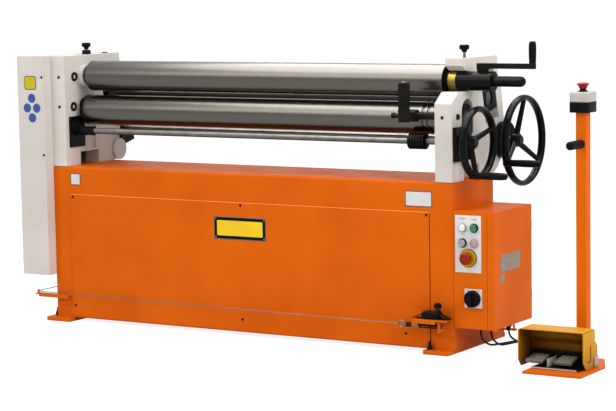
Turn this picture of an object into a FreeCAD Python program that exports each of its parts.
import FreeCAD, Part
import math
import os

# Motorised three-roll slip roll machine with its pedal stand.
# Working frame while modelling: X = 0 on the left side frame's inner face, Y = 0 on the front faces of the
# base and frames, Z = 0 on the floor.  +X runs to the right, +Y to the back.  On export every piece is moved
# so that the origin is the centre of the four floor-bolt holes, at floor level.

V = FreeCAD.Vector
X_AXIS = V(1, 0, 0)
Y_AXIS = V(0, 1, 0)
Z_AXIS = V(0, 0, 1)
os.makedirs("parts", exist_ok=True)

# ---------------------------------------------------------------- driving dimensions, millimetres
SPAN = 1571.0                # between the inner faces of the side frames
FRAME_T = 65.0               # thickness of a side frame
SHEET = 3.0                  # covers, panel and guard
PLATE_T = 4.0                # base cabinet walls
TOP_PLATE_T = 12.0           # base cabinet top
RUN = 0.05                   # radial running clearance of a shaft in its bore
FIT = 0.02                   # radial clearance of fixed round fits
SLIDE = 0.3                  # clearance of a block in its guide

# heights: the top roll's axis above the floor, and what follows from it
TOP_Z = 927.5
ROLL_PITCH = 129.5           # between the driven rolls' axes, lower roll at rest
REAR_BELOW = 69.5            # rear roll's axis below the top roll's
BASE_BELOW = 337.5           # base's top
FRAME_ABOVE = 77.5           # frames' top
COLUMN_BELOW = 72.5          # front column of the right frame
COVER_ABOVE = 78.5           # drive cover's top
SHAFT_BELOW = 76.0           # front cross shaft below the lower roll's axis
CONE_BAR_ABOVE = 15.0        # cone-rolling bar above the lower roll's axis
LOW_Z = TOP_Z - ROLL_PITCH
REAR_Z = TOP_Z - REAR_BELOW
BASE_TOP = TOP_Z - BASE_BELOW
FRAME_TOP = TOP_Z + FRAME_ABOVE
COLUMN_TOP = TOP_Z - COLUMN_BELOW
SHAFT_Z = LOW_Z - SHAFT_BELOW
CONE_BAR_Z = LOW_Z + CONE_BAR_ABOVE

# base
BASE_DEPTH = 308.0
FOOT_T = 15.0                # foot plates under the base
TOE_TOP = FOOT_T + 13.0      # bar on each foot plate behind the base
FOOT_LEFT_W = 107.0
FOOT_RIGHT_W = 96.0
TOE_W = 36.0
BEND_R = 9.0                 # folded front and back edges of the base's top
FOOT_FRONT = 33.0            # foot plate in front of the base
FOOT_BACK = 99.0             # foot plate behind the base
FOOT_LEFT_OUT = 27.0         # left foot plate beyond the base's left face
FOOT_RIGHT_IN = 6.0          # right foot plate stops short of the base's right face
ANCHOR_R = 7.0               # floor-bolt holes
ANCHOR_LEFT_X = 13.0         # hole to the left foot plate's outer edge
ANCHOR_RIGHT_X = 26.0        # hole to the right foot plate's outer edge
ANCHOR_EDGE_Y = 16.0         # hole to the foot plate's front edge
ANCHOR_PITCH_Y = 375.0
PANEL_EDGE = 80.0            # front panel to the base's left face
PANEL_BOTTOM = 20.0
PANEL_TOP = BASE_TOP - 106.0
PANEL_RIGHT_EDGE = 90.0
PANEL_LAP = 25.0             # panel over the rim of the base's front opening

# side frames
FRAME_BACK = 346.0
# back edge, from the top down: Y behind FRAME_BACK, height against the top roll's axis
BACK_EDGE = ((0.0, FRAME_ABOVE), (7.0, 15.5), (32.0, -38.5), (51.0, -145.5), (38.0, -192.5),
             (24.0, -243.5), (24.0, -287.5), (-1.0, -315.5))
BACK_FOOT = 46.0             # the back edge meets the base this far before FRAME_BACK
CHAMFER_Y = 52.0
TOOTH_FRONT = 82.0           # front of the right frame's upper jaw
TOOTH_START = 107.0
TOOTH_LIFT = 18.0
WINDOW_LOW = (86.0, 200.0, BASE_TOP + 49.0)      # lower window: front, back and top
POCKET_BACK = 184.0          # shallow recess above the lower window
RELIEF = (290.0, 420.0)      # shallow recess at the back: front and back
RECESS_T = 10.0
INNER_BOSS = (328.0, 41.0, 8.0)        # boss inside the left frame, on the base: Y, radius, height

# rolls
ROLL_R = 57.0
ROLL_Y = 117.0
ROLL_LEFT_GAP = 34.0         # rear roll's body to the left frame
TOP_LEFT_GAP = 50.0          # top roll's body to the left frame
LOW_LEFT_GAP = 26.0          # lower roll's body to the left frame
ROLL_RIGHT_GAP = 5.0         # roll body to the right frame
TOP_JOURNAL_R = 25.0
TOP_LEFT_JOURNAL_R = 30.0
LOW_JOURNAL_R = 28.0
COLLAR_R = 36.0
COLLAR_START = 31.0          # top roll's left collar to the left frame
GROOVE_R = 5.0               # wire grooves in the lower roll
GROOVE_PITCH = 20.0
GROOVE_FROM_END = 55.0
REAR_R = 52.0
REAR_Y = 288.0
REAR_TILT = 14.0             # degrees, the rear roll's slide leans to the front as it rises
REAR_JOURNAL_R = 26.0
REAR_COLLAR_R = 32.0

# top roll bearings and release end
BALL_R = 45.0                # self-aligning ring at the left end
BALL_W = 36.0
BALL_GAP = 0.3
BALL_SEAT_R = 56.0
BALL_COVER = (41.0, 26.0, 34.5)        # bolted cover round the left journal: radius, thickness, hole
BALL_COVER_BOLTS = 37.8      # bolts to the roll's axis
SEAT_R = 35.0                # open seat in the right frame
SEAL_R = 41.0                # seal ring between the roll's end and the right frame
SHOULDER_L = 6.0             # the ring's shoulder inside the seat
BUSH_R = 34.5
BUSH_L = 29.0
HOUSING_R = 33.0
HOUSING_END = 101.0          # housing beyond the right frame's outer face
FLANGE_T = 14.0
FLANGE_R = 34.4
GRIP_BAR_R = 18.0
GRIP_BAR_L = 118.0
CRANK_OUT = 60.0             # crank axis beyond the right frame's outer face
CRANK_HUB_R = 22.0
CRANK_PAD = 6.0              # pad under the crank's hub, above the housing
CRANK_STUD_R = 10.0
CRANK_ARM = 185.0
CRANK_ARM_W = 22.0
CRANK_ARM_T = 18.0
CRANK_LIFT = 4.0             # arm above the hub's foot
CRANK_GRIP_R = 13.0
CRANK_GRIP_L = 73.0

# lower roll lift
BLOCK_W = 84.0               # bearing block across the guide
BLOCK_DOWN = 48.0            # block below the roll axis
BLOCK_CROWN = 10.0           # centre of the block's round top above the roll axis
LIFT_UP = 15.0
GUIDE_WALL = 8.0             # wall between the left block and the rolls
JOURNAL_ROOM = 1.5           # round the journal in that wall
LIFT_DOWN = 4.0
GUIDE_END = 2.0              # spare guide length past each end of the travel
LIFT_SCREW_R = 16.0
LIFT_SCREW_L = 92.0
SHAFT_R = 11.0               # both cross shafts
SHAFT_Y = 63.0
GEARBOX_W = 70.0
GEARBOX_Z = (SHAFT_Z - 54.0, SHAFT_Z + 17.0)
FLANGE_LEFT_HALF = 44.0
FLANGE_RIGHT_HALF = 57.0
FLANGE_Z = (SHAFT_Z - 62.0, SHAFT_Z + 54.0)
FLANGE_BOSS_R = 24.0
FLANGE_BOSS_L = 6.0
FLANGE_LEFT_T = 8.0
FLANGE_RIGHT_T = 14.0
COUPLING = (18.0, 70.0, 17.0)          # left shaft coupling: from the left frame, length, radius
SHAFT_COLLAR = (65.0, 65.0, 28.0)      # right shaft collar: from the right frame, length, radius

# rear roll slide
REAR_BLOCK_P = 100.0         # block across its slide
REAR_BLOCK_S = 92.0          # block along its slide
REAR_UP = 58.0
REAR_DOWN = 36.0
REAR_SCREW_R = 14.0
REAR_SCREW_L = 200.0
REAR_DROP = 168.0            # roll axis to the worm's level, along the slide
WORM_OFFSET = 50.0           # worm axis behind the screw
REAR_BOX_FRONT = 34.0        # rear gearbox around the worm axis
REAR_BOX_BACK = 45.0
REAR_BOX_HALF = 58.0
REAR_FLANGE_R = 65.0
REAR_FLANGE_T = 26.0
REAR_CAP_R = 25.0            # small cap on the left gearbox, clear of the drive cover

# handwheels: rim radius, rim section, plane beyond the right frame's outer face, first spoke and grip angles
FRONT_WHEEL = {"rim": 115.0, "out": 68.0, "spoke": 22.0, "grip": 248.0}
REAR_WHEEL = {"rim": 150.0, "out": 86.0, "spoke": 87.0, "grip": 207.0}
RIM_HALF_R = 10.0            # half of the rim's oval section, across and along the axle
RIM_HALF_X = 14.0
HUB_R = 24.0
HUB_L = 24.0
HUB_NOSE_R = 15.0
HUB_NOSE_L = 10.0
DISH = 29.0                  # hub set back from the rim's plane
SPOKE_ROOT_R = 11.0
SPOKE_TIP_R = 8.0
GRIP_R = 12.8
GRIP_L = 112.0
GRIP_BOSS_OUT = 16.0         # grip's foot to the rim's plane
GRIP_PIN_R = 6.0

# clamp knobs and cone-rolling attachment
KNOB_Y = 161.0
LEFT_KNOB_Y = 182.0
LOBE_R = 6.0
LOBE_OUT = 11.5              # lobe centres to the knob's axis
LEFT_COLLAR = (17.0, 16.0)   # left knob's collar: radius and height
DISC_Y = 298.0               # plain disc on the left frame's top
STUD_R = 5.0
STUD_L = 28.0
CONE_BAR_R = 12.5
CONE_BAR_Y = 14.0
CONE_BAR_L = 138.0
CONE_BAR_IN = 18.0           # bar's seat in the right frame
CONE_X = 95.0                # roller axis to the right frame
CONE_Y = -40.0
CONE_BOSS_R = 21.0           # upright boss under the roller
CONE_BOSS_Z = (-18.0, 25.0)  # its ends against the bar's axis
CONE_SLEEVE = (21.0, 42.0)   # sleeve on the bar: radius and length
CONE_BRIDGE = (26.0, 13.0)   # web between them: width and half height
CONE_PIN_R = 10.0
CONE_ROLLER_R = 20.0
CONE_ROLLER_L = 90.0

# drive under the left cover
COVER_W = 127.0
COVER_FRONT = 45.0
COVER_DEPTH = 390.0
COVER_Z = (176.0, TOP_Z + COVER_ABOVE)
COVER_BEND_R = 5.0
GEAR_TEETH = 24
GEAR_T = 22.0
GEAR_OUT = 33.0              # gear to the left frame's outer face
SLOT_HUB_R = 44.0
SLOT_HUB_L = 20.0
TONGUE_W = 10.0
TONGUE_H = 44.0
TONGUE_PLAY = 15.6           # slot to tongue on each side: the rolls move off the gears' axes
GEAR_PLATE_T = 12.0
GEAR_PLATE_OUT = 65.0
GEAR_PLATE_Y = (2.0, 208.0)
GEAR_PLATE_BELOW = 74.0      # plate below the lower roll's axis
GEAR_PLATE_ABOVE = 48.0      # plate above the top roll's axis
SPACER_EDGE = 12.0           # spacer to the plate's edge
STUB_R = 15.0
OUTPUT_IN = 40.0             # output shaft past the left frame's outer face
SPACER_R = 8.0
SPROCKET_R = 42.0
SPROCKET_T = 12.0
SPROCKET_OUT = 88.0
CHAIN_T = 10.0
OUTPUT_Z = 330.0
REDUCER = (120.0, 75.0, 85.0)          # length, half depth and half height
REDUCER_BORE = 60.0
MOTOR_R = 70.0
MOTOR_L = 270.0
FIN_OUT = 8.0
FIN_T = 6.0
FIN_PITCH = 16.0
FIN_START = 30.0             # first fin to the reducer
FIN_COUNT = 10
TERMINAL = (60.0, 100.0, 45.0, 40.0)   # from the reducer, length, half depth, height above the motor

# electric box on the right of the base
BOX_GAP = 1.5                # pads between the box and the base
PAD_R = 8.0
PAD_EDGE = 30.0
BOX_W = 126.5
DOOR_T = 26.0
DOOR_GAP = 1.5
BOX_DEPTH = 294.0
BOX_Z = (95.0, 495.0)
HINGE_R = 4.0
CONTROL_PLATE = (8.0, 106.0, 287.0, 482.0)   # from the box's left: start, end; bottom and top
BEZEL_R = 15.5
BUTTON_R = 12.8
BUTTON_HOLE_R = 6.1          # round a button's stem
STOP_HOLE_R = 11.05          # round the emergency stop's neck
BUTTON_Z = (440.0, 388.0)
BUTTON_X = (37.0, 81.0)
ESTOP_X = 58.0
ESTOP_Z = 337.0
SWITCH_X = 76.0
SWITCH_Z = 200.0
SWITCH_PLATE = 65.0
SWITCH_R = 29.0
SWITCH_BAR = (7.0, 26.0)     # half width and half length of the bar across the switch

# pedal stand
STAND_LEFT = 349.0           # stand's left edge to the right frame's outer face
STAND_W = 206.0
STAND_FRONT = -195.0
STAND_SHOULDER = 4.0
STAND_BACK = 123.0
STAND_T = 8.0
STAND_TAPER = 54.0
POST_W = 36.0
POST_Y = 85.0
POST_TOP = 832.0
STOP_BOX = 68.0              # emergency stop box, square
STOP_BOX_LOWER = 34.0
STOP_BOX_UPPER = 34.0
MUSHROOM_R = 20.0
HOOD_SIDE = 48.0             # hood beyond the stand's left edge
HOOD_W = 234.0
HOOD_FRONT = -125.0
HOOD_BACK = -14.0
HOOD_TOP = 136.0
PEDAL_EDGE = 21.0            # left pedal to the hood's left side
PEDAL_W = 62.0
PEDAL_GAP = 40.0
HANDLE_R = 14.5
HANDLE_L = 92.0
HANDLE_Z = 729.0

# cables
CABLE_R = 3.5

# ---------------------------------------------------------------- positions worked out from them
RIGHT_OUT = SPAN + FRAME_T
LEFT_MID = -FRAME_T / 2
RIGHT_MID = SPAN + FRAME_T / 2
BASE_LEFT = -FRAME_T
BASE_RIGHT = RIGHT_OUT
ROLL_X0 = ROLL_LEFT_GAP
ROLL_X1 = SPAN - ROLL_RIGHT_GAP
FOOT_LEFT_X = BASE_LEFT - FOOT_LEFT_OUT
FOOT_RIGHT_X = BASE_RIGHT - FOOT_RIGHT_IN - FOOT_RIGHT_W
ANCHOR_X = (FOOT_LEFT_X + ANCHOR_LEFT_X, FOOT_RIGHT_X + FOOT_RIGHT_W - ANCHOR_RIGHT_X)
ANCHOR_Y = (-FOOT_FRONT + ANCHOR_EDGE_Y, -FOOT_FRONT + ANCHOR_EDGE_Y + ANCHOR_PITCH_Y)
ORIGIN = V(sum(ANCHOR_X) / 2, sum(ANCHOR_Y) / 2, 0)
TILT = math.radians(REAR_TILT)
ALONG = V(0, -math.sin(TILT), math.cos(TILT))      # up the rear slide
ACROSS = V(0, math.cos(TILT), math.sin(TILT))      # across it, to the back
REAR_AXIS = V(0, REAR_Y, REAR_Z)
REAR_SHAFT = REAR_AXIS - ALONG * REAR_DROP + ACROSS * WORM_OFFSET
BOX_LEFT = RIGHT_OUT + BOX_GAP
DOOR_X = BOX_LEFT + BOX_W
STAND_X0 = RIGHT_OUT + STAND_LEFT
STAND_X1 = STAND_X0 + STAND_W
POST_X = (STAND_X0 + STAND_X1) / 2 - 10.0
HOOD_X0 = STAND_X0 - HOOD_SIDE
HOOD_X1 = HOOD_X0 + HOOD_W
CONE_AXIS_X = SPAN - CONE_X
CRANK_X = RIGHT_OUT + CRANK_OUT
BUSH_X0 = SPAN + SHOULDER_L
HOUSING_X0 = BUSH_X0 + BUSH_L
CRANK_SEAT = TOP_Z + HOUSING_R + CRANK_PAD


# ---------------------------------------------------------------- small helpers
def box(x0, x1, y0, y1, z0, z1):
    return Part.makeBox(x1 - x0, y1 - y0, z1 - z0, V(x0, y0, z0))


def rod(start, direction, radius, length):
    return Part.makeCylinder(radius, length, start, direction)


def cone(start, direction, r0, r1, length):
    return Part.makeCone(r0, r1, length, start, direction)


def tube(start, direction, r_out, r_in, length):
    hole = rod(start - direction, direction, r_in, length + 2)
    return rod(start, direction, r_out, length).cut(hole)


def prism(points, direction):
    wire = Part.makePolygon(points + [points[0]])
    return Part.Face(wire).extrude(direction)


def prism_yz(points, x0, x1):
    return prism([V(x0, y, z) for y, z in points], V(x1 - x0, 0, 0))


def tilted(x0, x1, centre, across, along):
    """A block whose sides run along and across the rear slide, around a point of the YZ plane."""
    block = box(x0, x1, across[0], across[1], along[0], along[1])
    block.rotate(V(0, 0, 0), X_AXIS, REAR_TILT)
    block.translate(V(0, centre.y, centre.z))
    return block


def side(inner, outward, depth0, depth1):
    """The X range between two depths into a side frame, counted from its inner face."""
    ends = (inner + outward * depth0, inner + outward * depth1)
    return min(ends), max(ends)


def together(shapes):
    result = shapes[0]
    for shape in shapes[1:]:
        result = result.fuse(shape)
    return result.removeSplitter()


def less(shape, cutters):
    for cutter in cutters:
        shape = shape.cut(cutter)
    return shape


def export(name, solids):
    """One file for a sub-part; several solids stay separate in it."""
    shape = solids if isinstance(solids, Part.Shape) else Part.makeCompound(solids)
    shape = shape.copy()
    shape.translate(ORIGIN * -1)
    shape.exportStep("parts/" + name + ".step")
    print(name, len(shape.Solids), "solid(s)")


FRAMES = ((0.0, -1.0), (SPAN, 1.0))      # inner face and outward direction of the left and right frames


# ---------------------------------------------------------------- base
def foot_plate(x0, width):
    x1 = x0 + width
    plate = box(x0, x1, -FOOT_FRONT, BASE_DEPTH + FOOT_BACK, 0, FOOT_T)
    toe = box(x1 - TOE_W, x1, BASE_DEPTH, BASE_DEPTH + FOOT_BACK - 8, FOOT_T, TOE_TOP)
    holes = [rod(V(x, y, -1), Z_AXIS, ANCHOR_R, 2 * TOE_TOP) for x in ANCHOR_X for y in ANCHOR_Y]
    return less(plate.fuse(toe), holes)


def base_cabinet():
    outer = box(BASE_LEFT, BASE_RIGHT, 0, BASE_DEPTH, FOOT_T, BASE_TOP)
    long_edges = [edge for edge in outer.Edges if edge.Length > BASE_RIGHT - BASE_LEFT - 1]
    bend = [edge for edge in long_edges if edge.CenterOfMass.z > BASE_TOP - 1]
    outer = outer.makeFillet(BEND_R, bend)
    inner = box(BASE_LEFT + PLATE_T, BASE_RIGHT - PLATE_T, PLATE_T, BASE_DEPTH - PLATE_T,
                0, BASE_TOP - TOP_PLATE_T)
    opening = box(BASE_LEFT + PANEL_EDGE + PANEL_LAP, BASE_RIGHT - PANEL_RIGHT_EDGE - PANEL_LAP,
                  -1, PLATE_T + 1, PANEL_BOTTOM + PANEL_LAP, PANEL_TOP - PANEL_LAP)
    shaft_hole = rod(V(BASE_LEFT - 1, ROLL_Y, OUTPUT_Z), X_AXIS, 2 * STUB_R, PLATE_T + 2)
    cabinet = less(outer, [inner, opening, shaft_hole])
    left_foot = foot_plate(FOOT_LEFT_X, FOOT_LEFT_W)
    return together([cabinet, left_foot, foot_plate(FOOT_RIGHT_X, FOOT_RIGHT_W)])


def front_panel():
    return box(BASE_LEFT + PANEL_EDGE, BASE_RIGHT - PANEL_RIGHT_EDGE, -SHEET, 0, PANEL_BOTTOM, PANEL_TOP)


def levelling_screws():
    """Cone-headed jack screws standing on the foot plates beside the floor-bolt holes."""
    screws = []
    for x, y in ((FOOT_LEFT_X + 11, 22), (FOOT_LEFT_X + 11, BASE_DEPTH + 20),
                 (FOOT_RIGHT_X + 17, -14), (FOOT_RIGHT_X + 17, BASE_DEPTH + 20)):
        nut = cone(V(x, y, FOOT_T), Z_AXIS, 10.5, 7.0, 16)
        stem = rod(V(x, y, FOOT_T + 16), Z_AXIS, 5.0, 12)
        screws.append(nut.fuse(stem))
    return screws


def button_head(centre, direction, radius, height):
    head = cone(centre, direction, radius, radius * 0.75, height)
    socket = rod(centre + direction * (height * 0.4), direction, radius * 0.38, height)
    return head.cut(socket)


def black_screws():
    """Screw heads on the base panel, the frames and the drive cover."""
    front = V(0, -1, 0)
    heads = []
    for z, last_x in ((PANEL_TOP - 8, SPAN - 35), (PANEL_BOTTOM + 42, SPAN - 118)):
        panel_x = (BASE_LEFT + PANEL_EDGE + 10, SPAN / 2 - 5, last_x)
        heads += [button_head(V(x, -SHEET, z), front, 5.0, 3.0) for x in panel_x]
    heads += [button_head(V(LEFT_MID + 5, 0, z), front, 6.0, 3.0) for z in (TOP_Z - 2, LOW_Z + 16)]
    heads.append(button_head(V(RIGHT_MID - 4, 0, LOW_Z + 11), front, 6.0, 3.0))
    heads += [button_head(V(BASE_LEFT - 9, -COVER_FRONT, z), front, 5.0, 3.0)
              for z in (TOP_Z, BASE_TOP + 44)]
    heads.append(button_head(V(RIGHT_OUT, 43, LOW_Z + 12), X_AXIS, 11.0, 5.0))
    heads += [tube(V(0, y, z), X_AXIS, 17.5, 8.0, 4.0) for y, z in ((58, TOP_Z - 2), (49, LOW_Z + 15))]
    heads.append(button_head(V(LEFT_MID, DISC_Y, FRAME_TOP), Z_AXIS, 13.0, 4.0))
    cover_face = BALL_COVER[1]
    for dy, dz in ((0, 1), (1, 0), (0, -1), (-1, 0)):
        bolt = V(cover_face, ROLL_Y + dy * BALL_COVER_BOLTS, TOP_Z + dz * BALL_COVER_BOLTS)
        heads.append(button_head(bolt, X_AXIS, 2.8, 2.0))
    return heads


# ---------------------------------------------------------------- side frames
def back_outline():
    edge = [(FRAME_BACK + y, TOP_Z + z) for y, z in BACK_EDGE]
    return edge + [(FRAME_BACK - BACK_FOOT, BASE_TOP)]


def left_blank():
    return prism_yz([(0, BASE_TOP), (0, FRAME_TOP)] + back_outline(), -FRAME_T, 0)


def right_blank():
    seat_low = TOP_Z - SEAT_R
    seat_high = TOP_Z + SEAT_R
    corners = [(0, BASE_TOP), (0, COLUMN_TOP), (CHAMFER_Y, seat_low), (ROLL_Y, seat_low)]
    upper = [(ROLL_Y, seat_high), (TOOTH_START, seat_high), (TOOTH_FRONT, seat_high + TOOTH_LIFT),
             (TOOTH_FRONT, FRAME_TOP)] + back_outline() + [(0, BASE_TOP)]
    points = [V(SPAN, y, z) for y, z in corners]
    edges = [Part.LineSegment(a, b).toShape() for a, b in zip(points, points[1:])]
    edges.append(Part.Arc(points[-1], V(SPAN, ROLL_Y + SEAT_R, TOP_Z), V(SPAN, ROLL_Y, seat_high)).toShape())
    points = [V(SPAN, y, z) for y, z in upper]
    edges += [Part.LineSegment(a, b).toShape() for a, b in zip(points, points[1:])]
    return Part.Face(Part.Wire(edges)).extrude(V(FRAME_T, 0, 0))


def lift_window(inner, outward):
    """Guide of the lower bearing block: straight sides and a round top."""
    x0, x1 = side(inner, outward, -1, FRAME_T + 1)
    half = BLOCK_W / 2 + SLIDE
    crown = LOW_Z + BLOCK_CROWN + LIFT_UP + GUIDE_END
    floor = LOW_Z - BLOCK_DOWN - LIFT_DOWN - GUIDE_END
    return together([box(x0, x1, ROLL_Y - half, ROLL_Y + half, floor, crown),
                     rod(V(x0, ROLL_Y, crown), X_AXIS, half, x1 - x0)])


def rear_slot(inner, outward):
    x0, x1 = side(inner, outward, -1, FRAME_T + 1)
    half_p = REAR_BLOCK_P / 2 + SLIDE
    half_s = REAR_BLOCK_S / 2 + GUIDE_END
    return tilted(x0, x1, REAR_AXIS, (-half_p, half_p), (-half_s - REAR_DOWN, half_s + REAR_UP))


def rear_box_block(inner, outward):
    x0, x1 = side(inner, outward, 0, FRAME_T)
    return tilted(x0, x1, REAR_SHAFT, (-REAR_BOX_FRONT, REAR_BOX_BACK), (-REAR_BOX_HALF, REAR_BOX_HALF))


def lift_box_block(inner, outward):
    x0, x1 = side(inner, outward, 0, FRAME_T)
    return box(x0, x1, SHAFT_Y - GEARBOX_W / 2, SHAFT_Y + GEARBOX_W / 2, *GEARBOX_Z)


def frame_cutters(inner, outward):
    mid = inner + outward * FRAME_T / 2
    x0, x1 = side(inner, outward, -1, FRAME_T + 1)
    low_front, low_back, low_top = WINDOW_LOW
    window = box(x0, x1, low_front, low_back, BASE_TOP - 1, low_top)
    screw_bore = rod(V(mid, ROLL_Y, BASE_TOP), Z_AXIS, LIFT_SCREW_R + 0.5, LOW_Z - BASE_TOP)
    rear_start = REAR_AXIS - ALONG * (REAR_BLOCK_S / 2) + V(mid, 0, 0)
    rear_bore = rod(rear_start, ALONG * -1, REAR_SCREW_R + 0.5, REAR_SCREW_L + 90)
    recess = side(inner, outward, -1, RECESS_T)
    relief = box(*recess, *RELIEF, BASE_TOP + 15, REAR_SHAFT.z - 3)
    pocket = box(*recess, ROLL_Y - 2, POCKET_BACK, low_top + 8, LOW_Z - BLOCK_DOWN - 16)
    return [lift_window(inner, outward), rear_slot(inner, outward), rear_box_block(inner, outward),
            lift_box_block(inner, outward), window, screw_bore, rear_bore, relief, pocket]


def guide_wall():
    """Wall that closes the left guide towards the rolls, with a slot for the lower journal."""
    half = LOW_JOURNAL_R + JOURNAL_ROOM
    low = LOW_Z - LIFT_DOWN
    high = LOW_Z + LIFT_UP
    slot = [box(-GUIDE_WALL - 1, 1, ROLL_Y - half, ROLL_Y + half, low, high)]
    slot += [rod(V(-GUIDE_WALL - 1, ROLL_Y, z), X_AXIS, half, GUIDE_WALL + 2) for z in (low, high)]
    wall = lift_window(0.0, -1.0).common(box(-GUIDE_WALL, 0, 0, 2 * ROLL_Y, BASE_TOP, FRAME_TOP))
    return wall.cut(together(slot))


def knob_hole(x, y):
    return rod(V(x, y, FRAME_TOP - STUD_L - 2), Z_AXIS, STUD_R + RUN, STUD_L + 3)


def left_frame():
    seat = rod(V(-FRAME_T - 1, ROLL_Y, TOP_Z), X_AXIS, BALL_SEAT_R + RUN, FRAME_T + 2)
    frame = less(left_blank(), frame_cutters(0.0, -1.0) + [seat, knob_hole(LEFT_MID, LEFT_KNOB_Y)])
    y, radius, height = INNER_BOSS
    boss = rod(V(-RECESS_T - 1, y, BASE_TOP + radius), X_AXIS, radius, RECESS_T + 1 + height)
    return together([frame, guide_wall(), boss.cut(rear_box_block(0.0, -1.0))])


def right_frame():
    bar_hole = rod(V(SPAN - 1, CONE_BAR_Y, CONE_BAR_Z), X_AXIS, CONE_BAR_R + RUN, 21)
    return less(right_blank(), frame_cutters(SPAN, 1.0) + [bar_hole, knob_hole(RIGHT_MID, KNOB_Y)])


# ---------------------------------------------------------------- top roll and its release end
def top_roll():
    """Roll body with collars, journals and the flat tongue that its drive gear turns."""
    body = rod(V(TOP_LEFT_GAP, ROLL_Y, TOP_Z), X_AXIS, ROLL_R, ROLL_X1 - TOP_LEFT_GAP)
    left_collar = rod(V(COLLAR_START, ROLL_Y, TOP_Z), X_AXIS, COLLAR_R, TOP_LEFT_GAP - COLLAR_START)
    left = rod(V(-FRAME_T - 2, ROLL_Y, TOP_Z), X_AXIS, TOP_LEFT_JOURNAL_R, FRAME_T + COLLAR_START + 4)
    right = rod(V(ROLL_X1, ROLL_Y, TOP_Z), X_AXIS, TOP_JOURNAL_R, RIGHT_OUT - ROLL_X1)
    tongue = box(-FRAME_T - GEAR_OUT + 4, -FRAME_T, ROLL_Y - TONGUE_H / 2, ROLL_Y + TONGUE_H / 2,
                 TOP_Z - TONGUE_W / 2, TOP_Z + TONGUE_W / 2)
    return together([body, left_collar, left, right, tongue])


def ball(radius, width):
    sphere = Part.makeSphere(radius, V(LEFT_MID, ROLL_Y, TOP_Z))
    return sphere.common(rod(V(LEFT_MID - width / 2, ROLL_Y, TOP_Z), X_AXIS, 2 * radius, width))


def ball_ring():
    bore = rod(V(LEFT_MID - 50, ROLL_Y, TOP_Z), X_AXIS, TOP_LEFT_JOURNAL_R + RUN, 100)
    return ball(BALL_R, BALL_W).cut(bore)


def ball_seat():
    """Seat with a round hollow for the ring, and the bolted cover on the frame's inner side."""
    radius, thick, hole = BALL_COVER
    seat = rod(V(-FRAME_T + 4, ROLL_Y, TOP_Z), X_AXIS, BALL_SEAT_R, FRAME_T - 4)
    cover = rod(V(-1, ROLL_Y, TOP_Z), X_AXIS, radius, thick + 1)
    hollow = Part.makeSphere(BALL_R + BALL_GAP, V(LEFT_MID, ROLL_Y, TOP_Z))
    opening = rod(V(-FRAME_T, ROLL_Y, TOP_Z), X_AXIS, hole, FRAME_T + thick + 1)
    return less(seat.fuse(cover), [hollow, opening])


def brass_bush():
    return tube(V(BUSH_X0, ROLL_Y, TOP_Z), X_AXIS, BUSH_R, TOP_JOURNAL_R + RUN, BUSH_L)


def bearing_housing():
    """Housing round the journal's end, its flange with the round grip bar, and the seal ring."""
    end = RIGHT_OUT + HOUSING_END
    body = rod(V(HOUSING_X0, ROLL_Y, TOP_Z), X_AXIS, HOUSING_R, end - HOUSING_X0)
    flange = rod(V(end - FLANGE_T, ROLL_Y, TOP_Z), X_AXIS, FLANGE_R, FLANGE_T)
    pad = rod(V(CRANK_X, ROLL_Y, TOP_Z), Z_AXIS, CRANK_HUB_R - 2, CRANK_SEAT - TOP_Z)
    bar = rod(V(end, ROLL_Y, TOP_Z), X_AXIS, GRIP_BAR_R, GRIP_BAR_L - GRIP_BAR_R)
    nose = Part.makeSphere(GRIP_BAR_R, V(end + GRIP_BAR_L - GRIP_BAR_R, ROLL_Y, TOP_Z))
    bore = rod(V(HOUSING_X0 - 1, ROLL_Y, TOP_Z), X_AXIS, TOP_JOURNAL_R + RUN, RIGHT_OUT - HOUSING_X0 + 4)
    stud_hole = rod(V(CRANK_X, ROLL_Y, TOP_Z), Z_AXIS, CRANK_STUD_R + RUN, HOUSING_R + CRANK_PAD + 2)
    lip = rod(V(ROLL_X1 + 0.5, ROLL_Y, TOP_Z), X_AXIS, SEAL_R, SPAN - 1 - ROLL_X1 - 0.5)
    shoulder = rod(V(SPAN - 2, ROLL_Y, TOP_Z), X_AXIS, BUSH_R, BUSH_X0 - SPAN + 2)
    journal = rod(V(ROLL_X1, ROLL_Y, TOP_Z), X_AXIS, TOP_JOURNAL_R + RUN, 2 * FRAME_T)
    housing = less(together([body, flange, pad, bar, nose]), [bore, stud_hole])
    return [housing, lip.fuse(shoulder).cut(journal)]


def lock_crank():
    """Crank whose stud turns in the housing; its hub rests on the housing's pad."""
    arm_z = CRANK_SEAT + CRANK_LIFT
    hub = rod(V(CRANK_X, ROLL_Y, CRANK_SEAT), Z_AXIS, CRANK_HUB_R, CRANK_ARM_T + CRANK_LIFT)
    stud = rod(V(CRANK_X, ROLL_Y, TOP_Z + 6), Z_AXIS, CRANK_STUD_R, CRANK_SEAT - TOP_Z - 5)
    tip = CRANK_X + CRANK_ARM
    arm = box(CRANK_X, tip, ROLL_Y - CRANK_ARM_W / 2, ROLL_Y + CRANK_ARM_W / 2, arm_z, arm_z + CRANK_ARM_T)
    boss = rod(V(tip, ROLL_Y, arm_z), Z_AXIS, CRANK_ARM_W / 2 + 1, CRANK_ARM_T + 2)
    pin = rod(V(tip, ROLL_Y, arm_z + CRANK_ARM_T), Z_AXIS, GRIP_PIN_R, CRANK_GRIP_L - 10)
    return together([hub, stud, arm, boss, pin])


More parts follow.
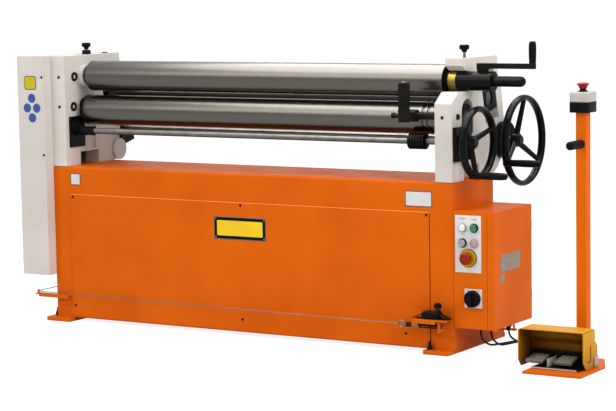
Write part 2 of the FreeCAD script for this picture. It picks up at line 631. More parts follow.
def crank_grip():
    base = CRANK_SEAT + CRANK_LIFT + CRANK_ARM_T + 2 + SLIDE
    axis = V(CRANK_X + CRANK_ARM, ROLL_Y, base)
    grip = rod(axis, Z_AXIS, CRANK_GRIP_R, CRANK_GRIP_L)
    grip = grip.makeFillet(3.0, [edge for edge in grip.Edges if edge.Closed])
    return grip.cut(rod(axis - Z_AXIS, Z_AXIS, GRIP_PIN_R + RUN, CRANK_GRIP_L - 10))


# ---------------------------------------------------------------- lower roll and its lift
def lower_roll():
    body = rod(V(LOW_LEFT_GAP, ROLL_Y, LOW_Z), X_AXIS, ROLL_R, ROLL_X1 - LOW_LEFT_GAP)
    for step in (0, 1):
        groove_x = ROLL_X1 - GROOVE_FROM_END - step * GROOVE_PITCH
        body = body.cut(Part.makeTorus(ROLL_R, GROOVE_R, V(groove_x, ROLL_Y, LOW_Z), X_AXIS))
    left = rod(V(-FRAME_T - 2, ROLL_Y, LOW_Z), X_AXIS, LOW_JOURNAL_R, FRAME_T + LOW_LEFT_GAP + 2)
    right = rod(V(ROLL_X1, ROLL_Y, LOW_Z), X_AXIS, LOW_JOURNAL_R, RIGHT_OUT - 6 - ROLL_X1)
    tongue = box(-FRAME_T - GEAR_OUT + 4, -FRAME_T, ROLL_Y - TONGUE_W / 2, ROLL_Y + TONGUE_W / 2,
                 LOW_Z - TONGUE_H / 2, LOW_Z + TONGUE_H / 2)
    return together([body, left, right, tongue])


def lower_blocks():
    """Both bearing blocks and the lifting screws under them."""
    solids = []
    for (inner, outward), wall in zip(FRAMES, (GUIDE_WALL, 0.0)):
        x0, x1 = side(inner, outward, wall + 2, FRAME_T - 2)
        mid = inner + outward * FRAME_T / 2
        crown = LOW_Z + BLOCK_CROWN
        floor = LOW_Z - BLOCK_DOWN
        block = together([box(x0, x1, ROLL_Y - BLOCK_W / 2, ROLL_Y + BLOCK_W / 2, floor, crown),
                          rod(V(x0, ROLL_Y, crown), X_AXIS, BLOCK_W / 2, x1 - x0)])
        solids.append(block.cut(rod(V(x0 - 1, ROLL_Y, LOW_Z), X_AXIS, LOW_JOURNAL_R + RUN, x1 - x0 + 2)))
        solids.append(rod(V(mid, ROLL_Y, floor - LIFT_SCREW_L), Z_AXIS, LIFT_SCREW_R, LIFT_SCREW_L))
    return solids


def lift_gearboxes():
    """Worm gearboxes in the frames' lower windows, each with a square flange."""
    solids = []
    halves = (FLANGE_LEFT_HALF, FLANGE_RIGHT_HALF)
    plates = ((0.0, FLANGE_LEFT_T), (RIGHT_OUT, RIGHT_OUT + FLANGE_RIGHT_T))
    for (inner, outward), half, (x0, x1) in zip(FRAMES, halves, plates):
        flange = box(x0, x1, SHAFT_Y - half, SHAFT_Y + half, *FLANGE_Z)
        boss = rod(V(x0, SHAFT_Y, SHAFT_Z), X_AXIS, FLANGE_BOSS_R, x1 - x0 + FLANGE_BOSS_L)
        bore = rod(V(x0 - 2 * FRAME_T, SHAFT_Y, SHAFT_Z), X_AXIS, SHAFT_R + RUN, 4 * FRAME_T)
        roll_path = rod(V(x0 - 1, ROLL_Y, LOW_Z - LIFT_DOWN), X_AXIS, COLLAR_R + 2, x1 - x0 + 2)
        body = lift_box_block(inner, outward)
        solids.append(less(together([body, flange, boss]), [bore, roll_path]))
    return solids


def cross_shaft():
    """Front cross shaft with its coupling sleeve and collar as separate rings."""
    start = V(-FRAME_T + 4, SHAFT_Y, SHAFT_Z)
    hub_end = RIGHT_OUT + FRONT_WHEEL["out"] - DISH
    shaft = rod(start, X_AXIS, SHAFT_R, hub_end - start.x)
    x, length, radius = COUPLING
    coupling = tube(V(x, SHAFT_Y, SHAFT_Z), X_AXIS, radius, SHAFT_R + FIT, length)
    gap, length, radius = SHAFT_COLLAR
    collar = tube(V(SPAN - gap - length, SHAFT_Y, SHAFT_Z), X_AXIS, radius, SHAFT_R + FIT, length)
    return [shaft, coupling, collar]


# ---------------------------------------------------------------- rear roll and its slides
def rear_roll():
    axis = REAR_AXIS
    body = rod(V(ROLL_X0, axis.y, axis.z), X_AXIS, REAR_R, ROLL_X1 - ROLL_X0)
    left_collar = rod(V(3, axis.y, axis.z), X_AXIS, REAR_COLLAR_R, ROLL_X0 - 3)
    right_collar = rod(V(ROLL_X1, axis.y, axis.z), X_AXIS, REAR_COLLAR_R, SPAN - 3 - ROLL_X1)
    journal = rod(V(-FRAME_T + 6, axis.y, axis.z), X_AXIS, REAR_JOURNAL_R, SPAN + 2 * FRAME_T - 12)
    return together([body, left_collar, right_collar, journal])


def rear_blocks():
    """Both sliding blocks and the adjusting screws under them."""
    solids = []
    half_p = REAR_BLOCK_P / 2
    half_s = REAR_BLOCK_S / 2
    for inner, outward in FRAMES:
        x0, x1 = side(inner, outward, 2, FRAME_T - 2)
        mid = (x0 + x1) / 2
        block = tilted(x0, x1, REAR_AXIS, (-half_p, half_p), (-half_s, half_s))
        bore = rod(V(x0 - 1, REAR_AXIS.y, REAR_AXIS.z), X_AXIS, REAR_JOURNAL_R + RUN, x1 - x0 + 2)
        solids.append(block.cut(bore))
        start = REAR_AXIS - ALONG * half_s + V(mid, 0, 0)
        solids.append(rod(start, ALONG * -1, REAR_SCREW_R, REAR_SCREW_L))
    return solids


def rear_gearboxes():
    """Tilted worm gearboxes behind the frames; the right one has a round flange."""
    solids = []
    for inner, outward in FRAMES:
        body = rear_box_block(inner, outward)
        face = RIGHT_OUT if outward > 0 else -FRAME_T
        radius = REAR_FLANGE_R if outward > 0 else REAR_CAP_R
        flange = rod(V(face, REAR_SHAFT.y, REAR_SHAFT.z), V(outward, 0, 0), radius, REAR_FLANGE_T)
        bore = rod(V(inner - 150, REAR_SHAFT.y, REAR_SHAFT.z), X_AXIS, SHAFT_R + RUN, 300)
        mid = inner + outward * FRAME_T / 2
        screw_path = rod(REAR_AXIS - ALONG * 400 + V(mid, 0, 0), ALONG, REAR_SCREW_R + 0.5, 380)
        solids.append(less(body.fuse(flange), [bore, screw_path]))
    return solids


def rear_shaft():
    start = -FRAME_T + 4
    end = RIGHT_OUT + REAR_WHEEL["out"] - DISH
    return rod(V(start, REAR_SHAFT.y, REAR_SHAFT.z), X_AXIS, SHAFT_R, end - start)


# ---------------------------------------------------------------- handwheels
def around(centre, radius, angle):
    turn = math.radians(angle)
    return centre + V(0, radius * math.cos(turn), radius * math.sin(turn))


def handwheel(axis, wheel):
    """Oval rim, three round spokes dished back to a nosed hub, and the pin that carries the grip."""
    plane = V(RIGHT_OUT + wheel["out"], axis.y, axis.z)
    section = around(plane, wheel["rim"], 0)
    oval = Part.Ellipse(section + X_AXIS * RIM_HALF_X, section + Y_AXIS * RIM_HALF_R, section)
    rim = Part.Face(Part.Wire(oval.toShape())).revolve(plane, X_AXIS, 360)
    hub_middle = plane - X_AXIS * DISH
    hub_start = hub_middle - X_AXIS * (HUB_L / 2)
    hub = rod(hub_start, X_AXIS, HUB_R, HUB_L)
    nose = cone(hub_start + X_AXIS * HUB_L, X_AXIS, HUB_R, HUB_NOSE_R, HUB_NOSE_L)
    pieces = [rim, hub, nose]
    for index in range(3):
        angle = wheel["spoke"] + 120 * index
        root = around(hub_middle, HUB_R / 2, angle)
        reach = around(plane, wheel["rim"], angle) - root
        pieces.append(cone(root, reach, SPOKE_ROOT_R, SPOKE_TIP_R, reach.Length))
    grip_axis = around(plane, wheel["rim"], wheel["grip"])
    boss_start = grip_axis - X_AXIS * RIM_HALF_R
    pieces.append(rod(boss_start, X_AXIS, GRIP_R, RIM_HALF_R + GRIP_BOSS_OUT))
    pieces.append(rod(grip_axis, X_AXIS, GRIP_PIN_R, GRIP_L))
    shaft_bore = rod(hub_start - X_AXIS, X_AXIS, SHAFT_R + FIT, HUB_L / 2 + 1)
    return less(together(pieces), [shaft_bore])


def wheel_grip(axis, wheel):
    plane = V(RIGHT_OUT + wheel["out"], axis.y, axis.z)
    start = around(plane, wheel["rim"], wheel["grip"]) + X_AXIS * (GRIP_BOSS_OUT + SLIDE)
    grip = rod(start, X_AXIS, GRIP_R, GRIP_L)
    grip = grip.makeFillet(4.0, [edge for edge in grip.Edges if edge.Closed])
    return grip.cut(rod(start - X_AXIS, X_AXIS, GRIP_PIN_R + RUN, GRIP_L - GRIP_BOSS_OUT + 10))


# ---------------------------------------------------------------- knobs and cone-rolling attachment
def star_knob(x, y):
    """Five-lobed clamp knob on a stud that turns in the top of a frame."""
    axis = V(x, y, FRAME_TOP)
    hub = rod(axis + Z_AXIS * 20, Z_AXIS, LOBE_OUT, 20)
    disc = rod(axis + Z_AXIS * 29, Z_AXIS, LOBE_OUT + 1, 15)
    stud = rod(axis - Z_AXIS * STUD_L, Z_AXIS, STUD_R, STUD_L + 24)
    pieces = [hub, disc, stud]
    for index in range(5):
        turn = math.radians(72 * index)
        lobe = axis + V(LOBE_OUT * math.cos(turn), LOBE_OUT * math.sin(turn), 29)
        pieces.append(rod(lobe, Z_AXIS, LOBE_R, 15))
    return together(pieces)


def left_knob():
    radius, height = LEFT_COLLAR
    collar = rod(V(LEFT_MID, LEFT_KNOB_Y, FRAME_TOP + SLIDE), Z_AXIS, radius, height)
    return together([star_knob(LEFT_MID, LEFT_KNOB_Y), collar])


def cone_bar():
    start = V(SPAN - CONE_BAR_L, CONE_BAR_Y, CONE_BAR_Z)
    return rod(start, X_AXIS, CONE_BAR_R, CONE_BAR_L + CONE_BAR_IN)


def cone_clamp():
    """Sleeve on the bar, web, and upright boss with the pin of the roller."""
    low, high = CONE_BOSS_Z
    radius, length = CONE_SLEEVE
    width, half = CONE_BRIDGE
    axis = V(CONE_AXIS_X, CONE_Y, CONE_BAR_Z)
    boss = rod(axis + Z_AXIS * low, Z_AXIS, CONE_BOSS_R, high - low)
    sleeve = rod(V(CONE_AXIS_X - length / 2, CONE_BAR_Y, CONE_BAR_Z), X_AXIS, radius, length)
    web = box(axis.x - width / 2, axis.x + width / 2, CONE_Y, CONE_BAR_Y,
              CONE_BAR_Z - half, CONE_BAR_Z + half)
    pin = rod(axis, Z_AXIS, CONE_PIN_R, high + CONE_ROLLER_L - 8)
    bore = rod(V(CONE_AXIS_X - length, CONE_BAR_Y, CONE_BAR_Z), X_AXIS, CONE_BAR_R + RUN, 2 * length)
    return less(together([boss, sleeve, web, pin]), [bore])


def cone_roller():
    start = V(CONE_AXIS_X, CONE_Y, CONE_BAR_Z + CONE_BOSS_Z[1] + SLIDE)
    roller = rod(start, Z_AXIS, CONE_ROLLER_R, CONE_ROLLER_L)
    roller = roller.makeFillet(2.0, [edge for edge in roller.Edges if edge.Closed])
    return roller.cut(rod(start - Z_AXIS, Z_AXIS, CONE_PIN_R + RUN, CONE_ROLLER_L - 4))


# ---------------------------------------------------------------- drive
def drive_cover():
    """Sheet cover, open to the frame, with a lip that closes it in front of the frame."""
    x0, x1 = -FRAME_T - COVER_W, -FRAME_T
    y0, y1 = -COVER_FRONT, COVER_DEPTH - COVER_FRONT
    outer = box(x0, x1, y0, y1, *COVER_Z)
    upright = [edge for edge in outer.Edges if edge.Length > COVER_Z[1] - COVER_Z[0] - 1]
    outer = outer.makeFillet(COVER_BEND_R, [edge for edge in upright if edge.CenterOfMass.x < x0 + 1])
    inner = box(x0 + SHEET, x1 + 1, y0 + SHEET, y1 - SHEET, COVER_Z[0] + SHEET, COVER_Z[1] - SHEET)
    lip = box(x1 - SHEET, x1, y0 + 1, 0, *COVER_Z)
    return together([outer.cut(inner), lip])


def gear_profile(centre, x0, phase):
    """Stub-tooth involute gear, drawn tooth by tooth and extruded along X."""
    module = (TOP_Z - LOW_Z) / GEAR_TEETH
    pitch = module * GEAR_TEETH / 2
    base = pitch * math.cos(math.radians(20))
    outer = pitch + 0.8 * module
    root = pitch - 1.1 * module
    half_pitch_angle = math.pi / 2 / GEAR_TEETH - 0.35 / pitch
    involute = math.tan(math.radians(20)) - math.radians(20)

    def flank(radius):
        if radius <= base:
            return half_pitch_angle + involute
        angle = math.acos(base / radius)
        return half_pitch_angle + involute - (math.tan(angle) - angle)

    radii = [root, base, pitch, (pitch + outer) / 2, outer]
    points = []
    for tooth in range(GEAR_TEETH):
        middle = 2 * math.pi * (tooth + phase) / GEAR_TEETH
        for sign, ring in ((-1, radii), (1, radii[::-1])):
            for radius in ring:
                angle = middle + sign * flank(radius)
                points.append(V(x0, centre.y + radius * math.cos(angle), centre.z + radius * math.sin(angle)))
    return prism(points, V(GEAR_T, 0, 0))


def drive_gear(axis_z, phase, slot_across_y, shaft_end):
    """Gear on a stub shaft, with a slotted hub for the tongue of its roll."""
    centre = V(0, ROLL_Y, axis_z)
    gear_x1 = -FRAME_T - GEAR_OUT
    gear_x0 = gear_x1 - GEAR_T
    gear = gear_profile(centre, gear_x0, phase)
    hub = rod(V(gear_x1, ROLL_Y, axis_z), X_AXIS, SLOT_HUB_R, SLOT_HUB_L)
    stub = rod(V(shaft_end, ROLL_Y, axis_z), X_AXIS, STUB_R, gear_x0 - shaft_end + 1)
    half = TONGUE_W / 2 + TONGUE_PLAY
    long_half = 2 * SLOT_HUB_R
    half_y, half_z = (long_half, half) if slot_across_y else (half, long_half)
    slot = box(gear_x1 + 2, gear_x1 + 2 * SLOT_HUB_L, ROLL_Y - half_y, ROLL_Y + half_y,
               axis_z - half_z, axis_z + half_z)
    return together([gear, hub, stub]).cut(slot)


PLATE_X1 = -FRAME_T - GEAR_PLATE_OUT
PLATE_X0 = PLATE_X1 - GEAR_PLATE_T
SPROCKET_X1 = -FRAME_T - SPROCKET_OUT
SPROCKET_X0 = SPROCKET_X1 - SPROCKET_T


def sprocket(axis_z):
    return rod(V(SPROCKET_X0, ROLL_Y, axis_z), X_AXIS, SPROCKET_R, SPROCKET_T)


def top_gear():
    return drive_gear(TOP_Z, 0.0, True, PLATE_X0 - 4)


def lower_gear():
    return together([drive_gear(LOW_Z, 0.5, False, SPROCKET_X0 - 4), sprocket(LOW_Z)])


def gear_plate():
    """Plate that carries both stub shafts, on four spacers from the left frame."""
    y0, y1 = GEAR_PLATE_Y
    z0 = LOW_Z - GEAR_PLATE_BELOW
    plate = box(PLATE_X0, PLATE_X1, y0, y1, z0, TOP_Z + GEAR_PLATE_ABOVE)
    spacers = [rod(V(PLATE_X1, y, z), X_AXIS, SPACER_R, GEAR_PLATE_OUT)
               for y in (y0 + SPACER_EDGE, y1 - SPACER_EDGE)
               for z in (z0 + SPACER_EDGE, (LOW_Z + TOP_Z) / 2)]
    bores = [rod(V(PLATE_X0 - 1, ROLL_Y, z), X_AXIS, STUB_R + RUN, GEAR_PLATE_T + 2)
             for z in (TOP_Z, LOW_Z)]
    return less(together([plate] + spacers), bores)


def output_sprocket():
    start = SPROCKET_X0 - 4
    shaft = rod(V(start, ROLL_Y, OUTPUT_Z), X_AXIS, STUB_R, OUTPUT_IN - FRAME_T - start)
    return together([sprocket(OUTPUT_Z), shaft])


def drive_chain():
    """Chain drawn as a plain band that runs clear of both sprockets."""
    def loop(radius):
        lower = rod(V(SPROCKET_X0 + 2, ROLL_Y, OUTPUT_Z), X_AXIS, radius, SPROCKET_T - 4)
        upper = rod(V(SPROCKET_X0 + 2, ROLL_Y, LOW_Z), X_AXIS, radius, SPROCKET_T - 4)
        middle = box(SPROCKET_X0 + 2, SPROCKET_X1 - 2, ROLL_Y - radius, ROLL_Y + radius, OUTPUT_Z, LOW_Z)
        return together([lower, middle, upper])
    return loop(SPROCKET_R + SLIDE + CHAIN_T).cut(loop(SPROCKET_R + SLIDE))


def gearmotor():
    """Reducer on the base's left wall with its motor behind it, as separate casings."""
    x0 = BASE_LEFT + PLATE_T
    length, half_y, half_z = REDUCER
    reducer = box(x0, x0 + length, ROLL_Y - half_y, ROLL_Y + half_y, OUTPUT_Z - half_z, OUTPUT_Z + half_z)
    bore = rod(V(x0 - 1, ROLL_Y, OUTPUT_Z), X_AXIS, STUB_R + RUN, REDUCER_BORE)
    x0 += length
    motor = rod(V(x0, ROLL_Y, OUTPUT_Z), X_AXIS, MOTOR_R, MOTOR_L)
    fins = [tube(V(x0 + FIN_START + FIN_PITCH * index, ROLL_Y, OUTPUT_Z), X_AXIS, MOTOR_R + FIN_OUT,
                 MOTOR_R - 2, FIN_T) for index in range(FIN_COUNT)]
    start, length, half, height = TERMINAL
    terminal = box(x0 + start, x0 + start + length, ROLL_Y - half, ROLL_Y + half,
                   OUTPUT_Z + MOTOR_R - 2 * FIN_OUT, OUTPUT_Z + MOTOR_R + height)
    return [reducer.cut(bore), together([motor, terminal] + fins)]


# ---------------------------------------------------------------- electric box
def ebox_body():
    """Sheet box open to the right, on four pads, with two hinge pins at its back edge."""
    outer = box(BOX_LEFT, DOOR_X, 0, BOX_DEPTH, *BOX_Z)
    inner = box(BOX_LEFT + SHEET, DOOR_X + 1, SHEET, BOX_DEPTH - SHEET, BOX_Z[0] + SHEET, BOX_Z[1] - SHEET)
    holes = [rod(V(BOX_LEFT + BUTTON_X[index], -1, BUTTON_Z[1 - index]), Y_AXIS, BUTTON_HOLE_R, SHEET + 2)
             for index in (0, 1)]
    holes.append(rod(V(BOX_LEFT + ESTOP_X, -1, ESTOP_Z), Y_AXIS, STOP_HOLE_R, SHEET + 2))
    pieces = [less(outer.cut(inner), holes)]
    for y in (PAD_EDGE, BOX_DEPTH - PAD_EDGE):
        for z in (BOX_Z[0] + PAD_EDGE, BOX_Z[1] - PAD_EDGE):
            pieces.append(rod(V(RIGHT_OUT, y, z), X_AXIS, PAD_R, BOX_GAP + 1))
    for z in (BOX_Z[0] + 60, BOX_Z[1] - 100):
        axis = V(DOOR_X + HINGE_R, BOX_DEPTH + HINGE_R + 1, z)
        pieces.append(box(DOOR_X - 22, DOOR_X, BOX_DEPTH - 1, BOX_DEPTH + 2 * HINGE_R, z, z + 12))
        pieces.append(box(DOOR_X - 1, axis.x, BOX_DEPTH + 1, BOX_DEPTH + 2 * HINGE_R, z, z + 12))
        pieces.append(rod(axis, Z_AXIS, HINGE_R, 12))
        pieces.append(rod(axis, Z_AXIS, HINGE_R - 1, 38))
    return together(pieces)


def ebox_door():
    """Tray door with two knuckles that turn on the box's pins."""
    x0, x1 = DOOR_X + DOOR_GAP, DOOR_X + DOOR_T
    outer = box(x0, x1, 0, BOX_DEPTH, *BOX_Z)
    inner = box(x0 - 1, x1 - SHEET, SHEET, BOX_DEPTH - SHEET, BOX_Z[0] + SHEET, BOX_Z[1] - SHEET)
    pieces = [outer.cut(inner)]
    for z in (BOX_Z[0] + 60, BOX_Z[1] - 100):
        axis = V(DOOR_X + HINGE_R, BOX_DEPTH + HINGE_R + 1, z + 12 + SLIDE)
        knuckle = tube(axis, Z_AXIS, HINGE_R, HINGE_R - 1 + RUN, 26)
        leaf = box(DOOR_X + HINGE_R, x1, BOX_DEPTH - 1, BOX_DEPTH + 1.8, axis.z, axis.z + 26)
        pieces.append(knuckle.fuse(leaf))
    return together(pieces)


def control_plate():
    """Light plate with lamps, button collars, emergency stop ring and main switch plate."""
    x0, x1, z0, z1 = CONTROL_PLATE
    front = V(0, -1, 0)
    plate = box(BOX_LEFT + x0, BOX_LEFT + x1, -2, 0, z0, z1)
    solids = []
    for index, x in enumerate(BUTTON_X):
        for row, z in enumerate(BUTTON_Z):
            centre = V(BOX_LEFT + x, -2, z)
            if index == row:
                lamp = rod(centre, front, BEZEL_R, 9)
                rim = [edge for edge in lamp.Edges if edge.Closed and edge.CenterOfMass.y < -8]
                solids.append(lamp.makeFillet(2.5, rim))
            else:
                solids.append(tube(centre, front, BEZEL_R, BUTTON_R + SLIDE, 8))
                plate = plate.cut(rod(centre - front * 3, front, BUTTON_HOLE_R, 6))
    stop = V(BOX_LEFT + ESTOP_X, -2, ESTOP_Z)
    solids.append(tube(stop, front, 31.5, 11.3, 5))
    plate = plate.cut(rod(stop - front * 3, front, STOP_HOLE_R, 6))
    half = SWITCH_PLATE / 2
    centre = V(BOX_LEFT + SWITCH_X, 0, SWITCH_Z)
    switch = box(centre.x - half, centre.x + half, -5, 0, centre.z - half, centre.z + half)
    return [plate] + solids + [switch.cut(rod(centre - front * 3, front, 6 + RUN, 12))]


def push_button(index, row):
    centre = V(BOX_LEFT + BUTTON_X[index], -2, BUTTON_Z[row])
    front = V(0, -1, 0)
    cap = rod(centre + front * 4, front, BUTTON_R, 8)
    cap = cap.makeFillet(1.5, [edge for edge in cap.Edges if edge.Closed and edge.CenterOfMass.y < -13])
    return together([cap, rod(centre + V(0, 1.5, 0), front, 5.5, 6)])


def mushroom(centre, direction, stem):
    """Emergency stop button: neck, narrow cone and a thin wide cap."""
    top = centre + direction * stem
    neck = rod(centre, direction, 10.5, stem)
    flare = cone(top, direction, 13.0, 15.0, 9)
    under = cone(top + direction * 8, direction, 17.0, MUSHROOM_R, 3)
    cap = cone(top + direction * 11, direction, MUSHROOM_R, MUSHROOM_R - 1, 4)
    crown = cone(top + direction * 15, direction, MUSHROOM_R - 1, MUSHROOM_R - 7, 4)
    return together([neck, flare, under, cap, crown])


def panel_estop():
    return mushroom(V(BOX_LEFT + ESTOP_X, -1, ESTOP_Z), V(0, -1, 0), 15)


def switch_knob():
    """Main switch: round knob with a bar across its face."""
    centre = V(BOX_LEFT + SWITCH_X, 0, SWITCH_Z)
    front = V(0, -1, 0)
    half_w, half_l = SWITCH_BAR
    disc = rod(centre + front * (5 + SLIDE), front, SWITCH_R, 17)
    bar = box(centre.x - half_w, centre.x + half_w, -38, -20, centre.z - half_l, centre.z + half_l)
    spindle = rod(centre + front * 0.5, front, 6.0, 8)
    return together([disc, bar, spindle])


GLANDS = ((34.0, 132.0, 8.0, 14.0), (66.0, 148.0, 8.0, 14.0), (110.0, 195.0, 12.0, 24.0))
CABLE_START = 11.0           # cable's end above the gland's mouth, below the box's floor


def cable_glands():
    """Glands in the box's floor: X and Y from the box's left front corner, radius and length."""
    solids = []
    for x, y, radius, length in GLANDS:
        axis = V(BOX_LEFT + x, y, BOX_Z[0])
        nut = rod(axis - Z_AXIS * 8, Z_AXIS, radius + 2, 8)
        taper = cone(axis - Z_AXIS * 8, Z_AXIS * -1, radius + 0.5, CABLE_R + 1.5, length)
        bore = rod(axis - Z_AXIS * (length + 9), Z_AXIS, CABLE_R + FIT, length + 4)
        solids.append(nut.fuse(taper).cut(bore))
    return solids


# ---------------------------------------------------------------- trip wire
WIRE_R = 1.5
ARM_Z = 96.0
ARM_TIP_X = -146.0
WIRE_BACK_Y = 352.0
SWITCH_TOP_Z = 121.0         # underside of the trip switch's shelf
SHELF_T = 5.0
SWITCH_H = 26.0
RESET_XY = (SPAN + 24.0, -36.0)
RESET_PIN_R = 5.0
RESET_SLEEVE_L = 6.0
RESET_TRAVEL = 6.0
SWITCH_WIRE_Y = -38.0
SWITCH_WIRE_Z = 101.0
EYE_X = 116.0                # steel eye to the right frame's inner face
WIRE_END_X = 40.0            # wire's last post beyond the base


def wire_brackets():
    """Arms at both left corners and the right back corner, and the shelf of the trip switch."""
    front_plate = box(-55, 3, -4, 0, 61, ARM_Z)
    front_arm = box(ARM_TIP_X - 8, 3, -24, 0, ARM_Z, ARM_Z + 4)
    front_lip = box(ARM_TIP_X + 10, 3, -24, -21, ARM_Z - 8, ARM_Z + 4)
    front_post = rod(V(ARM_TIP_X, -12, ARM_Z + 4), Z_AXIS, 3.5, 14)
    back_plate = box(-55, 3, BASE_DEPTH, BASE_DEPTH + 4, 61, ARM_Z)
    back_arm = box(ARM_TIP_X - 8, 3, BASE_DEPTH + 4, WIRE_BACK_Y + 6, ARM_Z, ARM_Z + 4)
    back_post = rod(V(ARM_TIP_X, WIRE_BACK_Y - 6, ARM_Z + 4), Z_AXIS, 3.5, 14)
    left_front = together([front_plate, front_arm, front_lip, front_post])
    back_lap = box(-55, 3, BASE_DEPTH, BASE_DEPTH + 6, ARM_Z, ARM_Z + 4)
    left_back = together([back_plate, back_lap, back_arm, back_post])
    x = BASE_RIGHT
    arm_y = BASE_DEPTH + FOOT_BACK - 30
    right_arm = box(x - 36, x + 48, arm_y, arm_y + 20, TOE_TOP, TOE_TOP + 6)
    right_post = rod(V(x + WIRE_END_X, arm_y + 10, TOE_TOP + 6), Z_AXIS, 3.5, 16)
    right_back = together([right_arm, right_post])
    shelf = together([box(SPAN - 62, x + 2, -62, -SHEET - 0.5, SWITCH_TOP_Z, SWITCH_TOP_Z + SHELF_T),
                      box(x - PANEL_RIGHT_EDGE + 2, x, -SHEET - 1, 0, SWITCH_TOP_Z, SWITCH_TOP_Z + SHELF_T)])
    web = box(SPAN + 18, x, -5, 0, 66, SWITCH_TOP_Z)
    lip = box(SPAN - 62, x - 40, -62, -59, SWITCH_TOP_Z - 10, SWITCH_TOP_Z)
    hanger = box(SPAN + 34, SPAN + 39, -58, 0, 84, SWITCH_TOP_Z)
    hanger_hole = rod(V(SPAN + 30, SWITCH_WIRE_Y, SWITCH_WIRE_Z), X_AXIS, 4.0, 12)
    return [left_front, left_back, right_back, together([shelf, web, lip, hanger]).cut(hanger_hole)]


def trip_wire():
    """Taut wire from the switch's eye round the left front and left back posts to the right back post."""
    z = ARM_Z + 11
    bend = 5.3
    eye = V(SPAN - EYE_X - 13, SWITCH_WIRE_Y, SWITCH_WIRE_Z)
    front = V(ARM_TIP_X - bend, -12 - bend, z)
    back = V(ARM_TIP_X - bend, WIRE_BACK_Y - 6 + bend, z)
    end = V(BASE_RIGHT + WIRE_END_X, BASE_DEPTH + FOOT_BACK - 20 + bend, TOE_TOP + 16)
    return cable("trip_wire", [eye, front, back, end], WIRE_R, bend)


def trip_switch():
    """Switch body on the shelf; spring, rod, nut and eye under it."""
    foot = SWITCH_TOP_Z + SHELF_T
    top = foot + SWITCH_H
    body = box(SPAN - 40, SPAN + 41, -58, -14, foot, top)
    wings = box(SPAN - 60, SPAN + 60, -50, -22, foot, foot + 6)
    sleeve = tube(V(*RESET_XY, top), Z_AXIS, 9.0, RESET_PIN_R + RUN, RESET_SLEEVE_L)
    hole = rod(V(*RESET_XY, top - 11), Z_AXIS, RESET_PIN_R + RUN, 20)
    axis = V(SPAN - EYE_X, SWITCH_WIRE_Y, SWITCH_WIRE_Z)
    eye = Part.makeTorus(10.5, 2.5, axis, Y_AXIS)
    rod_x = axis.x + 11
    pull = rod(V(rod_x, axis.y, axis.z), X_AXIS, 3.5, SPAN + 46 - rod_x)
    nut = rod(V(rod_x + 8, axis.y, axis.z), X_AXIS, 9.0, 16)
    spring = rod(V(SPAN - 46, axis.y, axis.z), X_AXIS, 9.0, 80)
    end_nut = rod(V(SPAN + 39, axis.y, axis.z), X_AXIS, 8.0, 7)
    return [together([body, wings, sleeve]).cut(hole), together([eye, pull, nut, spring, end_nut])]


def reset_knob():
    axis = V(*RESET_XY, SWITCH_TOP_Z + SHELF_T + SWITCH_H + RESET_SLEEVE_L + RESET_TRAVEL)
    cap = rod(axis, Z_AXIS, 13.0, 18)
    crown = [edge for edge in cap.Edges if edge.Closed and edge.CenterOfMass.z > axis.z + 10]
    cap = cap.makeFillet(5.0, crown)
    return together([cap, rod(axis - Z_AXIS * 18, Z_AXIS, RESET_PIN_R, 20)])


# ---------------------------------------------------------------- pedal stand
def pedal_stand():
    """Floor plate with tapered tail and the square post welded on it."""
    outline = [V(STAND_X0, STAND_FRONT, 0), V(STAND_X1, STAND_FRONT, 0), V(STAND_X1, STAND_SHOULDER, 0),
               V(STAND_X1 - STAND_TAPER, STAND_BACK, 0), V(STAND_X0 + STAND_TAPER, STAND_BACK, 0),
               V(STAND_X0, STAND_SHOULDER, 0)]
    plate = prism(outline, V(0, 0, STAND_T))
    half = POST_W / 2
    post = box(POST_X - half, POST_X + half, POST_Y - half, POST_Y + half, STAND_T - 1, POST_TOP)
    hollow = box(POST_X - half + SHEET, POST_X + half - SHEET, POST_Y - half + SHEET, POST_Y + half - SHEET,
                 STAND_T, POST_TOP + 1)
    cable_hole = rod(V(POST_X, POST_Y + half - 6, POST_ENTRY_Z), Y_AXIS, CABLE_R + 1, 12)
    return together([plate, post.cut(hollow)]).cut(cable_hole)


def post_handle():
    start = V(POST_X, POST_Y - POST_W / 2, HANDLE_Z)
    grip = rod(start, V(0, -1, 0), HANDLE_R, HANDLE_L)
    end = [edge for edge in grip.Edges if edge.Closed and edge.CenterOfMass.y < start.y - HANDLE_L / 2]
    return grip.makeFillet(4.0, end)


def estop_box():
    half = STOP_BOX / 2
    z = POST_TOP + STOP_BOX_LOWER
    lower = box(POST_X - half, POST_X + half, POST_Y - half, POST_Y + half, POST_TOP, z)
    upper = box(POST_X - half, POST_X + half, POST_Y - half, POST_Y + half, z, z + STOP_BOX_UPPER)
    collar = tube(V(POST_X, POST_Y, z + STOP_BOX_UPPER), Z_AXIS, 14.5, 10.5 + RUN, 5)
    hole = rod(V(POST_X, POST_Y, z + STOP_BOX_UPPER - 12), Z_AXIS, 10.5 + RUN, 13)
    return [lower, upper.cut(hole), collar]


def post_estop():
    z = POST_TOP + STOP_BOX_LOWER + STOP_BOX_UPPER
    return mushroom(V(POST_X, POST_Y, z - 5), Z_AXIS, 16)


PEDAL_FRONT = HOOD_FRONT + 12
PEDAL_PIVOT_Y = -52.0
PEDAL_PIVOT_Z = STAND_T + 30.0
PEDAL_PIN_R = 3.0
TRAY_T = 5.0                 # tray of the switch body, on the stand's plate
BODY_TOP = STAND_T + 44.0    # switch body behind the pedals
EAR_TOP = STAND_T + 38.0     # ears that hold the pedals' pins
EAR_T = 6.0
EAR_GAP = 1.0                # ear to pedal
EAR_HALF = 8.0
PEDAL_X = (HOOD_X0 + PEDAL_EDGE, HOOD_X0 + PEDAL_EDGE + PEDAL_W + PEDAL_GAP)


